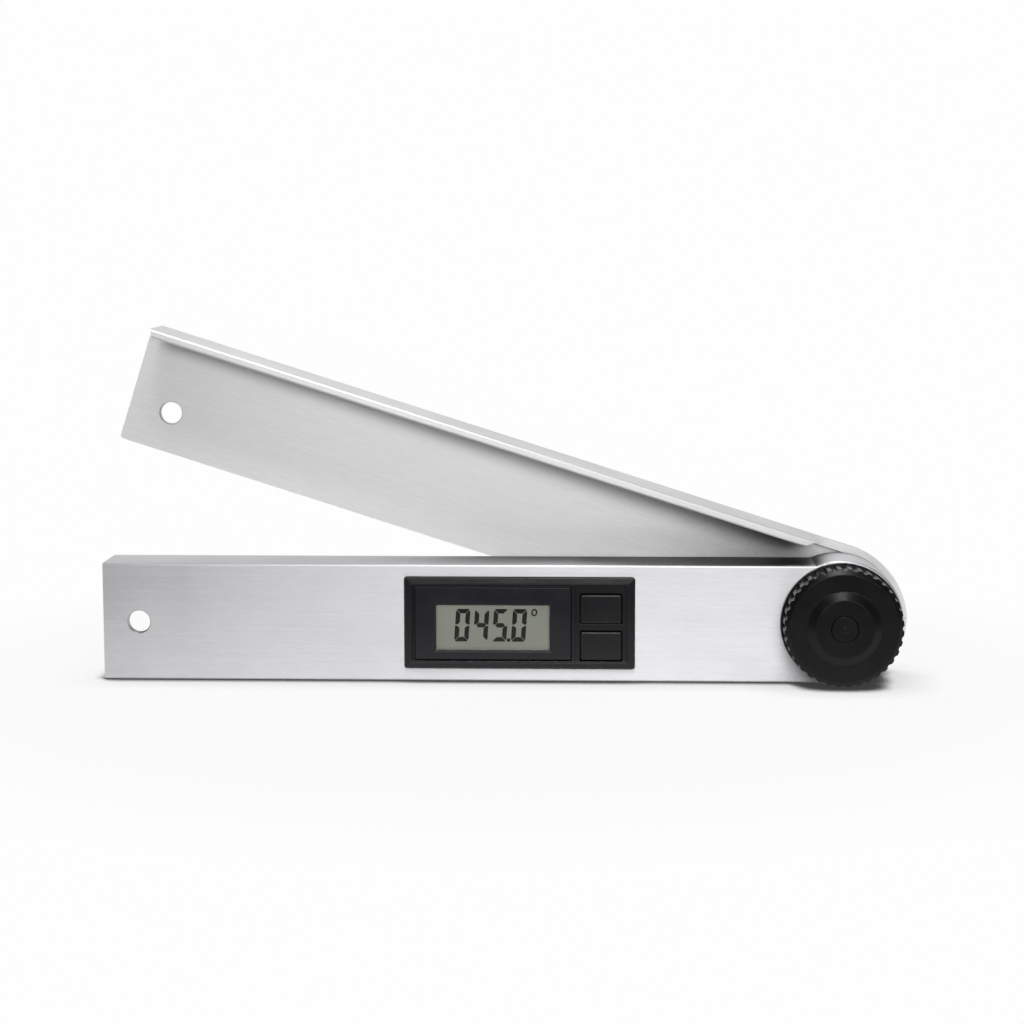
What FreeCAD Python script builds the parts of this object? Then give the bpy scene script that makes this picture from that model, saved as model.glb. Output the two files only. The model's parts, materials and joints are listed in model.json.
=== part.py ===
"""Digital angle finder: a base arm and an outer arm on one pivot, with a lock knob and a display.

Frame: +X from the tip of the base arm to its pivot, +Y away from the user, +Z up.
The origin is the centre of the base arm's flat rest face. The arms stand open as in use.
Depths are counted from the base arm's front face, positive away from the user.
"""
import FreeCAD, Part
import math
import os

V = FreeCAD.Vector

# Base arm, a channel open at the back with a round hub at its pivot end
base_reach = 200.0          # pivot to tip
base_height = 32.0
base_depth = 16.4
base_wall = 2.4
pivot_rise = 0.6            # arm's middle to the pivot axis
hub_stand = 1.5             # hub's top above the arm's top
edge_round = 0.65
pocket_round = 1.0
hang_hole_radius = 3.0
hang_hole_inset = 9.75      # tip to hole
hole_chamfer = 0.25

# Outer arm, an angle profile that closes over the base arm
open_angle = 17.7           # between the two arms as stored
arm_wall = 2.2
web_wall = 2.1
web_past_tip = 3.2          # base arm's tip to the web's end
tip_cut = 2.2               # corner cut off the web where the flange ends
flange_gap = 1.15           # base arm's top to the flange when folded
web_stop = 2.3              # rest face to the web's lower edge when folded
end_slant = 1.5             # how far the flange's inner edge is cut back at the tip
end_arc_radius = 22.0
end_arc_shift = 1.3         # how far the big arc's centre lies from the pivot, towards the tip
end_low_radius = 14.0
hub_relief = 6.0            # hub's edge to the flange, which is cut away round the knob
web_corner_round = 1.0
arm_gap = 0.8               # base arm's back to the web
rib_gap = 0.3               # base arm's back to the raised rim of the web
blade_hole_inset = 11.65
blade_hole_rise = 10.85     # web's lower edge to the hole
lip_round = 0.6

# Pivot
shaft_radius = 4.0
thread_radius = 3.0
running_gap = 0.05          # radial clearance of what turns or slides
seat_gap = 0.02             # radial clearance of what is pressed or screwed in
bush_wall = 1.5
boss_wall = 2.1
rivet_radius = 6.2
rivet_height = 1.0
friction_washer_play = 0.1

# Angle encoder round the pivot
stator_depth = 12.4
board_wall = 1.0
stator_screw_head = 0.5
encoder_air_gap = 0.8
encoder_edge_gap = 0.7      # encoder discs to the hub's inner wall
encoder_bore_gap = 0.4      # encoder discs to the pivot boss
rotor_inset = 0.4           # rotor's rim inside the stator's
post_radius = 1.3

# Lock knob
knob_ring_radius = 16.35
knob_ring_height = 1.2
grip_radius = 15.9
grip_face_radius = 14.5
grip_height = 8.3           # ring's front to face, chamfer included
grip_chamfer = 0.9
scallop_count = 36
scallop_radius = 0.95
scallop_depth = 0.5
crown_base_radius = 9.9
crown_face_radius = 7.8
crown_height = 1.3
cap_radius = 3.5
cap_groove = 0.2
cap_height = 1.4
cap_proud = 0.15
dimple_radius = 0.9
knob_shell = 2.0
knob_rib_count = 6
knob_rib_wall = 1.2
insert_wall = 1.7
insert_sides = 12
insert_boss_wall = 1.6
thrust_washer_radius = 9.0
thrust_washer_wall = 0.5

# Display panel, centred between its ends
panel_from_pivot = 86.65
panel_rise = 0.2            # arm's middle to the panel's middle
panel_length = 62.5
panel_room = 6.8            # arm's height beyond the panel's
panel_proud = 1.2
panel_bevel = 0.4           # frame's outer edge
panel_border = 2.15
panel_rise_in_border = 0.4  # how far the frame slopes up from its bevel to the well
well_bevel = 0.5
well_bevel_depth = 0.25
panel_corner = 0.9
bezel_skirt_inset = 1.5     # flange's edge to the skirt that enters the arm
panel_fit = 0.2             # skirt to the arm's cut-out, and plate to its recess
bezel_floor_depth = 0.4
bezel_floor_wall = 1.4
bezel_skirt_depth = 4.0
bezel_skirt_wall = 0.7
divider_wall = 0.9          # rib between the plate and the buttons
button_zone = 14.4          # display's part of the well to the panel's right border
plate_wall = 0.9
plate_inset = 0.7           # plate's ends and top to the edges of its part of the well
plate_bevel = 0.25
window_side = 6.5           # ends of the display's part to the window
window_bevel = 0.4
window_room = 8.5           # panel's inner height beyond the window's
window_drop = 1.4           # panel's middle to the window's middle
lens_fit = 0.05
lcd_margin = 1.1            # glass beyond the window on each side
lcd_depth = 0.95
lcd_wall = 1.95
strip_width = 1.5
holder_wall = 0.6

# Buttons
button_length = 11.0
button_gap = 0.25
button_bar = 2.35           # between the two buttons
button_room = 2.95          # panel's inner height beyond buttons and bar
button_drop = 1.25          # panel's middle to the buttons' middle
button_from_panel_end = 9.15
button_proud = 0.55         # cap's face below the bezel's rim
button_round = 0.45
button_lip = 0.6
button_lip_wall = 0.6
button_travel = 0.8
button_end_play = 0.1
switch_side = 4.6

# Circuit board
board_depth = 5.2
board_past_panel = 6.75     # panel's ends to the board's
board_side_room = 1.6       # arm's inner walls to the board
screw_post_radius = 2.0
board_screw_radius = 0.9
board_screw_head_radius = 1.7
board_screw_head = 1.2
board_screw_inset_x = 2.6
board_screw_inset_z = 3.6
screw_bite = 1.9

# Battery and its door in the back cover
cell_side_room = 3.6        # arm's inner walls to the cell
cell_wall = 3.2
cell_depth = 11.2
cell_fit = 0.2
tray_wall = 0.9
tray_floor = 1.0
contact_wall = 0.3
contact_width = 5.0
door_rim = 1.9              # cell's edge to the door's
door_fit = 0.12
door_tab_reach = 1.1
door_tab_wall = 0.5
door_tab_play = 0.1
door_tab_angle = 40.0
door_tab_count = 3
coin_slot_width = 1.8
coin_slot_length = 15.0
coin_slot_depth = 0.8
seal_width = 1.0

# Back cover
cover_wall = 1.5
cover_fit = 0.2
cover_past_panel = 14.1     # panel's end to the cover's tip end
cover_end_wall = 1.2
cover_hub_gap = 0.9         # cover's end to the encoder's pocket
cover_post_radius = 2.4
cover_screw_radius = 1.1
cover_screw_head_radius = 2.1
cover_screw_head = 1.1
cover_screw_slot = 0.5
cover_screw_bite = 5.0
cover_post_inset = 3.8      # cover's tip end to its posts
cover_post_right = 40.0     # pivot to the other two posts
cover_post_side = 6.6       # arm's top and rest face to the posts' middles

# Ribbon cable
ribbon_width = 6.0
ribbon_wall = 0.3
ribbon_board_overlap = 6.0
ribbon_stator_overlap = 2.6

# Sizes and places worked out from those above
mid_z = base_height / 2
pivot_height = mid_z + pivot_rise
above_pivot = base_height - pivot_height
hub_radius = above_pivot + hub_stand
base_length = base_reach + hub_radius
pivot_x = base_length / 2 - hub_radius
front = -base_depth / 2
tip_x = pivot_x - base_reach
flange_top = above_pivot + flange_gap + arm_wall
web_bottom = pivot_height - web_stop
web_reach = base_reach + web_past_tip
flange_reach = web_reach - tip_cut
knob_relief_radius = hub_radius + hub_relief
bush_radius = shaft_radius + running_gap + bush_wall
boss_radius = bush_radius + boss_wall
hub_pocket_radius = hub_radius - base_wall
web_depth = base_depth + arm_gap
web_back = web_depth + web_wall
stator_radius = hub_pocket_radius - encoder_edge_gap
stator_bore = boss_radius + encoder_bore_gap
rotor_depth = stator_depth + board_wall + encoder_air_gap
knob_back = -thrust_washer_wall
knob_face = knob_back - knob_ring_height - grip_height
crown_face = knob_face - crown_height
panel_height_centre = mid_z + panel_rise
panel_lip = panel_proud - panel_rise_in_border - panel_bevel
panel_slope = panel_border - panel_bevel - well_bevel
panel_height = base_height - panel_room
panel_inner = panel_height - 2 * panel_border
panel_x = pivot_x - panel_from_pivot
panel_end_x = panel_x + panel_length / 2
display_length = panel_length - 2 * panel_border - button_zone
display_x = panel_x - panel_length / 2 + panel_border + display_length / 2
plate_face = bezel_floor_depth - plate_wall
window_length = display_length - 2 * window_side
window_height = panel_inner - window_room
window_x = display_x
window_z = panel_height_centre - window_drop
button_height = (panel_inner - button_bar - button_room) / 2
button_pitch = button_height + button_bar
button_x = panel_end_x - button_from_panel_end
button_z = panel_height_centre - button_drop
floor_back = bezel_floor_depth + bezel_floor_wall
lcd_back = lcd_depth + lcd_wall
lcd_length = window_length + 2 * lcd_margin
lcd_height = window_height + 2 * lcd_margin
board_length = panel_length + 2 * board_past_panel
board_height = base_height - 2 * base_wall - 2 * board_side_room
board_back = board_depth + board_wall
cover_depth = base_depth - cover_wall
cover_left = panel_from_pivot + panel_length / 2 + cover_past_panel
cover_post_left = cover_left - cover_post_inset
cover_post_spread = mid_z - cover_post_side
cell_x = panel_x
cell_z = mid_z
cell_radius = mid_z - base_wall - cell_side_room
door_radius = cell_radius + door_rim
tray_radius = cell_radius + cell_fit + tray_wall
contact_depth = cell_depth - contact_wall
tray_floor_depth = contact_depth - tray_floor
cell_back = cell_depth + cell_wall
door_tab_depth = cover_depth - door_tab_play - door_tab_wall


def box(x0, x1, d0, d1, z0, z1):
    """A block between two x, two depths and two heights."""
    return Part.makeBox(x1 - x0, d1 - d0, z1 - z0, V(x0, front + d0, z0))


def centred_box(x, z, length, height, d0, d1):
    return box(x - length / 2, x + length / 2, d0, d1, z - height / 2, z + height / 2)


def disc(radius, d0, d1, x=pivot_x, z=pivot_height):
    """A cylinder along the depth."""
    return Part.makeCylinder(radius, d1 - d0, V(x, front + d0, z), V(0, 1, 0))


def ring(outer, inner, d0, d1, x=pivot_x, z=pivot_height):
    return disc(outer, d0, d1, x, z).cut(disc(inner, d0, d1, x, z))


def cone(r0, r1, d0, d1, x=pivot_x, z=pivot_height):
    return Part.makeCone(r0, r1, d1 - d0, V(x, front + d0, z), V(0, 1, 0))


def turned(points, x=pivot_x, z=pivot_height):
    """A solid of revolution about the depth axis from (radius, depth) points."""
    corners = [V(x + r, front + d, z) for r, d in points]
    face = Part.Face(Part.makePolygon(corners + corners[:1]))
    return face.revolve(V(x, front, z), V(0, 1, 0), 360)


def prism(edges, d0, d1):
    """A flat outline at y = 0 pushed through the depths d0 to d1."""
    face = Part.Face(Part.Wire(Part.__sortEdges__(edges)))
    solid = face.extrude(V(0, d1 - d0, 0))
    solid.translate(V(0, front + d0, 0))
    return solid


def line(x0, z0, x1, z1):
    return Part.LineSegment(V(x0, 0, z0), V(x1, 0, z1)).toShape()


def arc(cx, cz, radius, start, end):
    """An arc in the x-z plane from one angle to another, in degrees from +X towards +Z."""
    def at(angle):
        turn = math.radians(angle)
        return V(cx + radius * math.cos(turn), 0, cz + radius * math.sin(turn))
    return Part.Arc(at(start), at((start + end) / 2), at(end)).toShape()


def edges_along(shape, axis, test):
    """Straight edges of a shape that run along an axis and whose middle passes a test."""
    found = []
    for edge in shape.Edges:
        ends = [v.Point for v in edge.Vertexes]
        if len(ends) == 2 and abs(abs((ends[1] - ends[0]).normalize().dot(axis)) - 1) < 1e-6:
            if test((ends[0] + ends[1]) * 0.5):
                found.append(edge)
    return found


def fillet_box(shape, axis, radius, test=lambda middle: True):
    return shape.makeFillet(radius, edges_along(shape, axis, test))


def fuse(first, *others):
    return first.multiFuse(list(others)).removeSplitter()


def around(count, radius, start=90.0):
    """Places evenly spaced on a circle about the pivot."""
    turns = [math.radians(start + 360.0 * i / count) for i in range(count)]
    return [(pivot_x + radius * math.cos(t), pivot_height + radius * math.sin(t)) for t in turns]


def export(name, shape):
    shape.exportStep("parts/" + name + ".step")


def open_arm(shape):
    """Turns a shape of the outer arm from the closed place to the stored angle."""
    turned_shape = shape.copy()
    turned_shape.rotate(V(pivot_x, 0, pivot_height), V(0, 1, 0), open_angle)
    return turned_shape


# Base arm

def stator_posts():
    """Screw places of the encoder's fixed disc."""
    return around(3, (stator_radius + stator_bore) / 2)


def board_posts():
    dx = board_length / 2 - board_screw_inset_x
    dz = board_height / 2 - board_screw_inset_z
    return [(panel_x + i * dx, mid_z + k * dz) for i in (-1, 1) for k in (-1, 1)]


def cover_posts():
    return [(pivot_x - x, mid_z + k * cover_post_spread)
            for x in (cover_post_left, cover_post_right) for k in (-1, 1)]


def drilled_post(x, z, radius, hole, d1):
    """A post on the front wall's inside with a blind screw hole."""
    post = disc(radius, base_wall / 2, d1, x, z)
    return post.cut(disc(hole + seat_gap, base_wall, d1, x, z))


def arm_bar():
    bar = box(tip_x, pivot_x, 0, base_depth, 0, base_height)
    bar = fillet_box(bar, V(1, 0, 0), edge_round, lambda m: m.y < 0)
    hollow = box(tip_x - base_wall, pivot_x, base_wall, base_depth + base_wall,
                 base_wall, base_height - base_wall)
    hollow = fillet_box(hollow, V(1, 0, 0), pocket_round, lambda m: m.y < 0)
    return bar, hollow


def arm_hub():
    """The round end, cut flush with the rest face."""
    hub = disc(hub_radius, 0, base_depth)
    rim = [e for e in hub.Edges if isinstance(e.Curve, Part.Circle) and e.CenterOfMass.y < 0]
    hub = hub.makeFillet(edge_round, rim)
    keep = box(pivot_x - 2 * hub_radius, pivot_x + 2 * hub_radius, 0, base_depth,
               0, pivot_height + 2 * hub_radius)
    keep = fillet_box(keep, V(1, 0, 0), edge_round, lambda m: m.y < 0 and m.z < mid_z)
    hollow = disc(hub_pocket_radius, base_wall, base_depth + base_wall)
    hollow = hollow.common(box(tip_x, pivot_x + hub_radius, 0, base_depth + 2 * base_wall,
                               base_wall, pivot_height + hub_radius))
    return hub.common(keep), hollow


def hang_hole(radius, d0, d1, x, z):
    """A through hole with a small chamfer at both mouths."""
    c = hole_chamfer
    hole = disc(radius, d0 - 1, d1 + 1, x, z)
    mouths = [cone(radius + c, radius, d0, d0 + c, x, z), cone(radius, radius + c, d1 - c, d1, x, z)]
    return hole.multiFuse(mouths)


def base_arm():
    bar, bar_hollow = arm_bar()
    hub, hub_hollow = arm_hub()
    arm = bar.fuse(hub).cut(bar_hollow.fuse(hub_hollow))
    skirt_length = panel_length - 2 * bezel_skirt_inset + 2 * panel_fit
    skirt_height = panel_height - 2 * bezel_skirt_inset + 2 * panel_fit
    cutout = centred_box(panel_x, panel_height_centre, skirt_length, skirt_height,
                         -1, base_wall + pocket_round)
    hole = hang_hole(hang_hole_radius, 0, base_wall, tip_x + hang_hole_inset, mid_z)
    arm = arm.cut(cutout).cut(hole)
    posts = [drilled_post(x, z, post_radius, board_screw_radius, stator_depth)
             for x, z in stator_posts()]
    posts += [drilled_post(x, z, screw_post_radius, board_screw_radius, board_depth)
              for x, z in board_posts()]
    posts += [drilled_post(x, z, cover_post_radius, cover_screw_radius, cover_depth)
              for x, z in cover_posts()]
    boss = disc(boss_radius, base_wall / 2, base_depth)
    arm = fuse(arm, boss, *posts)
    return arm.cut(disc(bush_radius + seat_gap, -1, base_depth + 1))


def back_cover():
    left = pivot_x - cover_left
    low = base_wall + cover_fit
    high = base_height - base_wall - cover_fit
    cover = box(left, pivot_x, cover_depth, base_depth, low, high)
    cover = fillet_box(cover, V(0, 1, 0), pocket_round, lambda m: m.x < panel_x)
    cover = cover.cut(disc(hub_pocket_radius + cover_hub_gap, 0, base_depth + 1))
    for x, z in cover_posts():
        cover = cover.cut(disc(cover_screw_radius + cover_fit, 0, base_depth + 1, x, z))
        cover = cover.cut(cone(cover_screw_radius, cover_screw_head_radius + seat_gap,
                               base_depth - cover_screw_head, base_depth, x, z))
    cover = cover.cut(disc(door_radius + door_fit, 0, base_depth + 1, cell_x, cell_z))
    end_wall = box(left, left + cover_end_wall, base_wall + cover_fit, cover_depth,
                   low + pocket_round, high - pocket_round)
    return fuse(cover, end_wall)


def cover_screws():
    screws = []
    for x, z in cover_posts():
        head = cone(cover_screw_radius, cover_screw_head_radius, base_depth - cover_screw_head,
                    base_depth, x, z)
        shank = disc(cover_screw_radius, cover_depth - cover_screw_bite, base_depth, x, z)
        slot = centred_box(x, z, 2 * cover_screw_head_radius, cover_screw_slot,
                           base_depth - cover_screw_head / 2, base_depth + 1)
        cross = centred_box(x, z, cover_screw_slot, 2 * cover_screw_head_radius,
                            base_depth - cover_screw_head / 2, base_depth + 1)
        screws.append(head.fuse(shank).removeSplitter().cut(slot.fuse(cross)))
    return Part.makeCompound(screws)


def pivot_bush():
    return ring(bush_radius, shaft_radius + running_gap, running_gap, base_depth - running_gap)


# Display panel

def window_opening(margin, d0, d1):
    return centred_box(window_x, window_z, window_length + 2 * margin,
                       window_height + 2 * margin, d0, d1)


def window_outline(margin, depth):
    half_x = window_length / 2 + margin
    half_z = window_height / 2 + margin
    corners = [V(window_x + i * half_x, front + depth, window_z + k * half_z)
               for i, k in ((-1, -1), (1, -1), (1, 1), (-1, 1))]
    return Part.makePolygon(corners + corners[:1])


def button_places():
    return [(button_x, button_z + k * button_pitch / 2) for k in (1, -1)]


def frustum(length, height, grow, d0, d1):
    """A block round the panel's middle whose sides spread by a width from depth d0 to d1."""
    low = panel_rectangle(length, height, d0)
    high = panel_rectangle(length + 2 * grow, height + 2 * grow, d1)
    return Part.makeLoft([low, high], True, True)


def panel_rectangle(length, height, depth):
    half_x = length / 2
    half_z = height / 2
    corners = [V(panel_x + i * half_x, front + depth, panel_height_centre + k * half_z)
               for i, k in ((-1, -1), (1, -1), (1, 1), (-1, 1))]
    return Part.makePolygon(corners + corners[:1])


def panel_slopes():
    """The space inside the frame's outer bevels and its four shallow slopes."""
    base = centred_box(panel_x, panel_height_centre, panel_length, panel_height, -panel_lip, 0)
    shoulder = panel_lip + panel_bevel
    edge = frustum(panel_length, panel_height, -panel_bevel, -panel_lip, -shoulder)
    slope = frustum(panel_length - 2 * panel_bevel, panel_height - 2 * panel_bevel,
                    -panel_slope, -shoulder, -panel_proud)
    return base.fuse(edge).fuse(slope)


def bezel_frame():
    flange = centred_box(panel_x, panel_height_centre, panel_length, panel_height, -panel_proud, 0)
    flange = fillet_box(flange, V(0, 1, 0), panel_corner).common(panel_slopes())
    skirt = centred_box(panel_x, panel_height_centre, panel_length - 2 * bezel_skirt_inset,
                        panel_height - 2 * bezel_skirt_inset, 0, bezel_skirt_depth)
    well = centred_box(panel_x, panel_height_centre, panel_length - 2 * panel_border,
                       panel_height - 2 * panel_border, -panel_proud - 1, bezel_floor_depth)
    well = fillet_box(well, V(0, 1, 0), panel_corner / 2)
    mouth = frustum(panel_length - 2 * panel_border, panel_height - 2 * panel_border,
                    well_bevel, -panel_proud + well_bevel_depth, -panel_proud)
    under = centred_box(panel_x, panel_height_centre,
                        panel_length - 2 * bezel_skirt_inset - 2 * bezel_skirt_wall,
                        panel_height - 2 * bezel_skirt_inset - 2 * bezel_skirt_wall,
                        floor_back, bezel_skirt_depth + 1)
    frame = flange.fuse(skirt).removeSplitter().cut(well).cut(mouth).cut(under)
    frame = frame.cut(window_opening(lcd_margin + panel_fit, 0, floor_back + 1))
    for x, z in button_places():
        frame = frame.cut(centred_box(x, z, button_length + 2 * button_gap,
                                      button_height + 2 * button_gap, 0, floor_back + 1))
    divider_x = display_x + display_length / 2 - plate_inset + panel_fit
    divider = box(divider_x, divider_x + divider_wall, plate_face, bezel_floor_depth,
                  panel_height_centre - panel_height / 2 + panel_border,
                  panel_height_centre + panel_height / 2 - panel_border)
    return fuse(frame, divider)


def display_plate():
    low = panel_height_centre - panel_inner / 2 + panel_fit
    high = panel_height_centre + panel_inner / 2 - plate_inset
    half = display_length / 2 - plate_inset
    plate = box(display_x - half, display_x + half, plate_face, bezel_floor_depth, low, high)
    rim = [e for e in plate.Edges if all(v.Y < front + plate_face + 1e-6 for v in e.Vertexes)]
    plate = plate.makeChamfer(plate_bevel, rim)
    mouth = Part.makeLoft([window_outline(0, plate_face + window_bevel),
                           window_outline(window_bevel, plate_face)], True, True)
    return plate.cut(window_opening(0, -2, base_wall)).cut(mouth)


def window_lens():
    return window_opening(-lens_fit, plate_face + window_bevel, bezel_floor_depth)


def lcd_glass():
    front_glass = centred_box(window_x, window_z, lcd_length, lcd_height,
                              lcd_depth, lcd_depth + lcd_wall / 2)
    rear_glass = centred_box(window_x, window_z, lcd_length, lcd_height - strip_width,
                             lcd_depth + lcd_wall / 2, lcd_back)
    return fuse(front_glass, rear_glass)


def lcd_holder():
    length = lcd_length + 2 * panel_fit
    height = lcd_height + 2 * panel_fit
    outer = centred_box(window_x, window_z, length + 2 * holder_wall, height + 2 * holder_wall,
                        floor_back, board_depth)
    return outer.cut(centred_box(window_x, window_z, length, height, 0, base_depth))


def elastomer_strips():
    offset = lcd_height / 2 - strip_width
    return Part.makeCompound([centred_box(window_x, window_z + k * offset, lcd_length, strip_width,
                                          lcd_back, board_depth) for k in (-1, 1)])


def button(x, z):
    top = button_proud - panel_proud
    cap = centred_box(x, z, button_length, button_height, top, floor_back + running_gap)
    cap = fillet_box(cap, V(0, 1, 0), panel_corner / 2)
    crown = [e for e in cap.Edges if all(v.Y < front + top + 1e-6 for v in e.Vertexes)]
    cap = cap.makeFillet(button_round, crown)
    lip = centred_box(x, z, button_length + 2 * button_lip, button_height,
                      floor_back + running_gap, floor_back + running_gap + button_lip_wall)
    return fuse(cap, lip)


def button_switches():
    """Two small push switches on the board, one behind each button."""
    top = floor_back + running_gap + button_lip_wall + button_travel + button_end_play
    return Part.makeCompound([centred_box(x, z, switch_side, switch_side, top, board_depth)
                              for x, z in button_places()])


# Circuit board and encoder

def circuit_board():
    board = centred_box(panel_x, mid_z, board_length, board_height, board_depth, board_back)
    board = fillet_box(board, V(0, 1, 0), pocket_round)
    for x, z in board_posts():
        board = board.cut(disc(board_screw_radius + seat_gap, 0, base_depth, x, z))
    return board


def pan_screw(x, z, seat, head, head_radius):
    """A screw whose head lies on a seat and whose shank goes towards the front."""
    shank = disc(board_screw_radius, seat - board_wall - screw_bite, seat, x, z)
    return shank.fuse(disc(head_radius, seat, seat + head, x, z)).removeSplitter()


def board_screws():
    return Part.makeCompound([pan_screw(x, z, board_back, board_screw_head,
                                        board_screw_head_radius) for x, z in board_posts()])


def encoder_stator():
    stator = ring(stator_radius, stator_bore, stator_depth, stator_depth + board_wall)
    for x, z in stator_posts():
        stator = stator.cut(disc(board_screw_radius + seat_gap, 0, base_depth, x, z))
    return stator


def stator_screws():
    seat = stator_depth + board_wall
    return Part.makeCompound([pan_screw(x, z, seat, stator_screw_head, board_screw_head_radius)
                              for x, z in stator_posts()])


def ribbon_cable():
    """A flat cable from the board's back to the encoder's fixed disc, bent at four corners."""
    board_end = panel_x + board_length / 2
    stator_edge = pivot_x - stator_radius
    under = stator_depth - ribbon_wall
    path = [(board_end - ribbon_board_overlap, board_back),
            (board_end + ribbon_board_overlap, board_back),
            (stator_edge - ribbon_board_overlap / 2, under),
            (stator_edge + ribbon_stator_overlap, under)]
    low = [V(x, front + d, 0) for x, d in path]
    high = [V(x, front + d + ribbon_wall, 0) for x, d in reversed(path)]
    face = Part.Face(Part.makePolygon(low + high + low[:1]))
    cable = face.extrude(V(0, 0, ribbon_width))
    cable.translate(V(0, 0, pivot_height - ribbon_width / 2))
    return cable


def encoder_rotor():
    rotor = ring(stator_radius - rotor_inset, stator_bore, rotor_depth, rotor_depth + board_wall)
    return open_arm(rotor)


def rotor_carrier():
    """A ring that holds the encoder's turning disc off the web, lightened between its spokes."""
    outer = stator_radius - 2 * rotor_inset
    carrier = ring(outer, stator_bore, rotor_depth + board_wall, web_depth)
    pocket = ring(outer - arm_wall / 2, stator_bore + arm_wall / 2,
                  rotor_depth + board_wall, web_depth - arm_wall / 2)
    for x, z in around(6, (outer + stator_bore) / 2):
        pocket = pocket.cut(disc(post_radius, 0, web_back, x, z))
    return open_arm(carrier.cut(pocket))


# Battery

def battery_cell():
    can = disc(cell_radius, cell_depth + cell_wall / 4, cell_back, cell_x, cell_z)
    lid = disc(cell_radius - tray_wall, cell_depth, cell_back, cell_x, cell_z)
    return fuse(can, lid)


def battery_tray():
    top = cell_back - running_gap
    cup = disc(tray_radius, board_back, top, cell_x, cell_z)
    cup = cup.cut(disc(cell_radius + cell_fit, contact_depth, top, cell_x, cell_z))
    foot = disc(tray_radius - tray_wall, board_back, tray_floor_depth, cell_x, cell_z)
    return cup.cut(foot)


def battery_contact():
    """A flat strip under the cell."""
    return centred_box(cell_x, cell_z, 2 * cell_radius - 2 * tray_wall, contact_width,
                       contact_depth, cell_depth)


def battery_clip():
    """A curved strip between the cell's side and the tray."""
    outer = cell_radius + cell_fit - seat_gap
    band = ring(outer, cell_radius + seat_gap, cell_depth, cell_back - running_gap, cell_x, cell_z)
    window = centred_box(cell_x + cell_radius, cell_z, cell_radius, contact_width,
                         contact_depth, base_depth)
    return band.common(window)


def battery_door():
    """A round door with bayonet tabs behind the cover's edge and a coin slot."""
    door = disc(door_radius, cover_depth, base_depth, cell_x, cell_z)
    collar = ring(door_radius - door_fit, tray_radius + cell_fit, door_tab_depth, cover_depth,
                  cell_x, cell_z)
    half = math.radians(door_tab_angle / 2)
    reach = door_radius + door_tab_reach
    tabs = []
    for i in range(door_tab_count):
        turn = math.radians(90 + 360.0 * i / door_tab_count)
        far = 2 * reach
        corners = [V(cell_x, 0, cell_z)]
        corners += [V(cell_x + far * math.cos(turn + a), 0, cell_z + far * math.sin(turn + a))
                    for a in (-half, half)]
        wedge = Part.Face(Part.makePolygon(corners + corners[:1])).extrude(V(0, door_tab_wall, 0))
        wedge.translate(V(0, front + door_tab_depth, 0))
        tabs.append(wedge.common(ring(reach, door_radius - 2 * door_fit, door_tab_depth,
                                      door_tab_depth + door_tab_wall, cell_x, cell_z)))
    slot = centred_box(cell_x, cell_z, coin_slot_length, coin_slot_width,
                       base_depth - coin_slot_depth, base_depth + 1)
    return fuse(door, collar, *tabs).cut(slot)


def door_seal():
    outer = tray_radius - seat_gap
    return ring(outer, outer - seal_width, cell_back + running_gap, cover_depth, cell_x, cell_z)


# Outer arm and pivot

def end_arcs():
    """Centres and meeting angle of the two arcs that round the outer arm's pivot end."""
    big = (pivot_x - end_arc_shift, pivot_height + flange_top - end_arc_radius)
    low_z = pivot_height - web_bottom + end_low_radius
    apart = end_arc_radius - end_low_radius
    rise = low_z - big[1]
    low = (big[0] + math.sqrt(apart ** 2 - rise ** 2), low_z)
    return big, low, math.degrees(math.asin(rise / apart))


def web_outline():
    big, low, meet = end_arcs()
    left = pivot_x - web_reach
    bottom = pivot_height - web_bottom
    top = pivot_height + flange_top
    cut_x = pivot_x - flange_reach
    cut_z = top - (web_reach - flange_reach)
    return [line(left, bottom, low[0], bottom),
            arc(low[0], low[1], end_low_radius, -90, meet),
            arc(big[0], big[1], end_arc_radius, meet, 90),
            line(big[0], top, cut_x, top),
            line(cut_x, top, left, cut_z),
            line(left, cut_z, left, bottom)]


def flange():
    """The flange along the arm's outer edge, cut back round the knob."""
    big, low, meet = end_arcs()
    top = pivot_height + flange_top
    under = top - arm_wall
    outline = [line(pivot_x - flange_reach, top, big[0], top),
               line(big[0], top, big[0], under),
               line(big[0], under, pivot_x - flange_reach + end_slant, under),
               line(pivot_x - flange_reach + end_slant, under, pivot_x - flange_reach, top)]
    body = prism(outline, 0, web_back)
    body = fillet_box(body, V(1, 0, 0), lip_round, lambda m: m.y < 0)
    relief = disc(knob_relief_radius, -1, base_depth + rib_gap)
    return body.cut(relief)


def end_rim():
    """The raised rim that carries the flange's line round the pivot end."""
    big, low, meet = end_arcs()
    inner = end_arc_radius - arm_wall
    turn = math.radians(meet)
    edges = [arc(big[0], big[1], end_arc_radius, meet, 90), arc(big[0], big[1], inner, meet, 90),
             line(big[0], big[1] + inner, big[0], big[1] + end_arc_radius),
             line(big[0] + inner * math.cos(turn), big[1] + inner * math.sin(turn),
                  big[0] + end_arc_radius * math.cos(turn), big[1] + end_arc_radius * math.sin(turn))]
    return prism(edges, base_depth + rib_gap, web_depth)


def outer_arm():
    web = prism(web_outline(), web_depth, web_back)
    web = fillet_box(web, V(0, 1, 0), web_corner_round,
                     lambda m: m.x < pivot_x - web_reach / 2 and m.z < pivot_height)
    arm = fuse(web, flange(), end_rim())
    hole = hang_hole(hang_hole_radius, web_depth, web_back, pivot_x - web_reach + blade_hole_inset,
                     pivot_height - web_bottom + blade_hole_rise)
    arm = arm.cut(hole).cut(disc(shaft_radius + seat_gap, web_depth - 1, web_back + 1))
    return open_arm(arm)


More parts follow.
